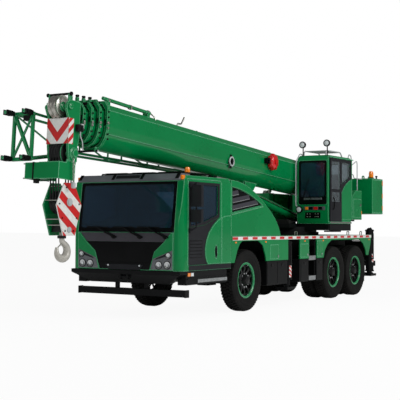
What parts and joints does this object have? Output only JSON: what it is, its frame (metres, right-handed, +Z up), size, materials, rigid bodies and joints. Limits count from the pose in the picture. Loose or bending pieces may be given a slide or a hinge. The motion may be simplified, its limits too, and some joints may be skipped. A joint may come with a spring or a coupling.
{
  "type": "truck-mounted mobile crane",
  "caption": "Truck-mounted mobile crane with a slewing telescopic boom, a hook block, an operator cab and sliding outriggers.",
  "frame": {"origin": "middle of the bounding box, on the ground under the tyres", "axes": "+X forward, +Y to the left of the vehicle, +Z up"},
  "size_m": [12.7132, 3, 3.9784],
  "materials": {
    "green_paint": "gloss",
    "black_paint": "satin",
    "wheel_paint": "satin",
    "tyre_rubber": "matte",
    "grey_plastic": "moulded",
    "tinted_glass": "tinted",
    "chromed_steel": "polished",
    "bare_steel": "satin",
    "seat_fabric": "woven"
  },
  "bodies": {
    "carrier": {"chassis_frame": "black_paint", "deck": "green_paint", "left_side_boxes": "black_paint", "right_side_boxes": "black_paint", "engine_block": "bare_steel", "front_bumper": "black_paint", "cab_shell": "green_paint", "cab_front_panel": "green_paint", "windscreen": "tinted_glass", "roof_visor": "grey_plastic", "cab_seats": "seat_fabric", "left_fairing": "green_paint", "right_fairing": "green_paint", "front_axle": "black_paint", "rear_axle_1": "black_paint", "rear_axle_2": "black_paint"},
    "left_door": {"left_door": "green_paint", "left_mirrors": "grey_plastic"},
    "right_door": {"right_door": "green_paint", "right_mirrors": "grey_plastic"},
    "left_knuckle": {"left_knuckle": "black_paint"},
    "right_knuckle": {"right_knuckle": "black_paint"},
    "front_left_wheel": {"front_left_tyre": "tyre_rubber", "front_left_wheel": "wheel_paint"},
    "rear_left_wheel_1": {"rear_left_tyres_1": "tyre_rubber", "rear_left_wheel_1": "wheel_paint"},
    "rear_left_wheel_2": {"rear_left_tyres_2": "tyre_rubber", "rear_left_wheel_2": "wheel_paint"},
    "front_right_wheel": {"front_right_tyre": "tyre_rubber", "front_right_wheel": "wheel_paint"},
    "rear_right_wheel_1": {"rear_right_tyres_1": "tyre_rubber", "rear_right_wheel_1": "wheel_paint"},
    "rear_right_wheel_2": {"rear_right_tyres_2": "tyre_rubber", "rear_right_wheel_2": "wheel_paint"},
    "front_left_beam": {"front_left_outrigger": "black_paint"},
    "front_left_leg": {"front_left_jack": "bare_steel"},
    "front_right_beam": {"front_right_outrigger": "black_paint"},
    "front_right_leg": {"front_right_jack": "bare_steel"},
    "rear_left_beam": {"rear_left_outrigger": "black_paint"},
    "rear_left_leg": {"rear_left_jack": "bare_steel"},
    "rear_right_beam": {"rear_right_outrigger": "black_paint"},
    "rear_right_leg": {"rear_right_jack": "bare_steel"},
    "upper_works": {"turntable": "green_paint", "crane_cab": "green_paint", "crane_cab_windscreen": "tinted_glass", "operator_seat": "seat_fabric", "hydraulic_tank": "green_paint", "tool_cabinet": "green_paint", "counterweight": "green_paint", "winches": "black_paint"},
    "crane_cab_door": {"crane_cab_door": "grey_plastic"},
    "boom": {"boom_base": "green_paint", "fly_jib": "green_paint"},
    "section_2": {"boom_section_2": "green_paint"},
    "section_3": {"boom_section_3": "green_paint"},
    "section_4": {"boom_section_4": "green_paint"},
    "head": {"boom_head": "green_paint"},
    "hook_block": {"hook_block": "bare_steel"},
    "luff_barrel": {"luff_cylinder": "black_paint"},
    "luff_rod": {"luff_rod": "chromed_steel"}
  },
  "joints": [
    {"name": "steer_left", "type": "hinge", "parent": "carrier", "child": "left_knuckle", "pos_m": [1.41337, 0.82, 0.632], "axis": [0, 0, 1], "range_deg": [-30, 30]},
    {"name": "front_left_wheel_spin", "type": "hinge", "parent": "left_knuckle", "child": "front_left_wheel", "pos_m": [1.41337, 1.09, 0.632], "axis": [0, 1, 0], "continuous": true},
    {"name": "rear_left_wheel_1_spin", "type": "hinge", "parent": "carrier", "child": "rear_left_wheel_1", "pos_m": [-2.95163, 0.915, 0.632], "axis": [0, 1, 0], "continuous": true},
    {"name": "rear_left_wheel_2_spin", "type": "hinge", "parent": "carrier", "child": "rear_left_wheel_2", "pos_m": [-4.30163, 0.915, 0.632], "axis": [0, 1, 0], "continuous": true},
    {"name": "left_door_hinge", "type": "hinge", "parent": "carrier", "child": "left_door", "pos_m": [3.69337, 1.25, 1.8], "axis": [0, 0, -1], "range_deg": [0, 70]},
    {"name": "steer_right", "type": "hinge", "parent": "carrier", "child": "right_knuckle", "pos_m": [1.41337, -0.82, 0.632], "axis": [0, 0, 1], "range_deg": [-30, 30]},
    {"name": "front_right_wheel_spin", "type": "hinge", "parent": "right_knuckle", "child": "front_right_wheel", "pos_m": [1.41337, -1.09, 0.632], "axis": [0, 1, 0], "continuous": true},
    {"name": "rear_right_wheel_1_spin", "type": "hinge", "parent": "carrier", "child": "rear_right_wheel_1", "pos_m": [-2.95163, -0.915, 0.632], "axis": [0, 1, 0], "continuous": true},
    {"name": "rear_right_wheel_2_spin", "type": "hinge", "parent": "carrier", "child": "rear_right_wheel_2", "pos_m": [-4.30163, -0.915, 0.632], "axis": [0, 1, 0], "continuous": true},
    {"name": "right_door_hinge", "type": "hinge", "parent": "carrier", "child": "right_door", "pos_m": [3.69337, -1.25, 1.8], "axis": [0, 0, 1], "range_deg": [0, 70]},
    {"name": "front_left_beam_slide", "type": "slide", "parent": "carrier", "child": "front_left_beam", "axis": [0, 1, 0], "range_m": [0, 1.7]},
    {"name": "front_left_jack_slide", "type": "slide", "parent": "front_left_beam", "child": "front_left_leg", "axis": [0, 0, -1], "range_m": [0, 0.55]},
    {"name": "front_right_beam_slide", "type": "slide", "parent": "carrier", "child": "front_right_beam", "axis": [0, -1, 0], "range_m": [0, 1.7]},
    {"name": "front_right_jack_slide", "type": "slide", "parent": "front_right_beam", "child": "front_right_leg", "axis": [0, 0, -1], "range_m": [0, 0.55]},
    {"name": "rear_left_beam_slide", "type": "slide", "parent": "carrier", "child": "rear_left_beam", "axis": [0, 1, 0], "range_m": [0, 1.7]},
    {"name": "rear_left_jack_slide", "type": "slide", "parent": "rear_left_beam", "child": "rear_left_leg", "axis": [0, 0, -1], "range_m": [0, 0.55]},
    {"name": "rear_right_beam_slide", "type": "slide", "parent": "carrier", "child": "rear_right_beam", "axis": [0, -1, 0], "range_m": [0, 1.7]},
    {"name": "rear_right_jack_slide", "type": "slide", "parent": "rear_right_beam", "child": "rear_right_leg", "axis": [0, 0, -1], "range_m": [0, 0.55]},
    {"name": "slew", "type": "hinge", "parent": "carrier", "child": "upper_works", "pos_m": [-3.05663, 0, 1.6], "axis": [0, 0, 1], "continuous": true},
    {"name": "crane_cab_door_slide", "type": "slide", "parent": "upper_works", "child": "crane_cab_door", "axis": [-1, 0, 0], "range_m": [0, 0.6]},
    {"name": "boom_luff", "type": "hinge", "parent": "upper_works", "child": "boom", "pos_m": [-5.05663, 0, 2.65], "axis": [0, -1, 0], "range_deg": [0, 75]},
    {"name": "telescope_2", "type": "slide", "parent": "boom", "child": "section_2", "axis": [0.9976, 0, 0.0687], "range_m": [0, 7.5]},
    {"name": "telescope_3", "type": "slide", "parent": "section_2", "child": "section_3", "axis": [0.9976, 0, 0.0687], "range_m": [0, 7.5]},
    {"name": "telescope_4", "type": "slide", "parent": "section_3", "child": "section_4", "axis": [0.9976, 0, 0.0687], "range_m": [0, 7.5]},
    {"name": "telescope_5", "type": "slide", "parent": "section_4", "child": "head", "axis": [0.9976, 0, 0.0687], "range_m": [0, 7.5]},
    {"name": "hook_swing", "type": "hinge", "parent": "head", "child": "hook_block", "pos_m": [5.76332, 0, 2.95017], "axis": [0, -1, 0], "range_deg": [-75, 0]},
    {"name": "luff_barrel_pivot", "type": "hinge", "parent": "upper_works", "child": "luff_barrel", "pos_m": [-3.45663, 0, 1.93], "axis": [0, -1, 0], "range_deg": [0, 82.17]},
    {"name": "luff_rod_slide", "type": "slide", "parent": "luff_barrel", "child": "luff_rod", "axis": [0.9799, 0, 0.1995], "range_m": [0, 2.0845]}
  ],
  "couplings": [
    {"joint": "steer_right", "follows": "steer_left", "ratio": 1},
    {"joint": "telescope_4", "follows": "telescope_3", "ratio": 1},
    {"joint": "telescope_5", "follows": "telescope_3", "ratio": 1},
    {"joint": "hook_swing", "follows": "boom_luff", "ratio": -1},
    {"joint": "luff_barrel_pivot", "follows": "boom_luff", "ratio": 1.0955},
    {"joint": "luff_rod_slide", "follows": "boom_luff", "m_per_rad": 1.592}
  ]
}
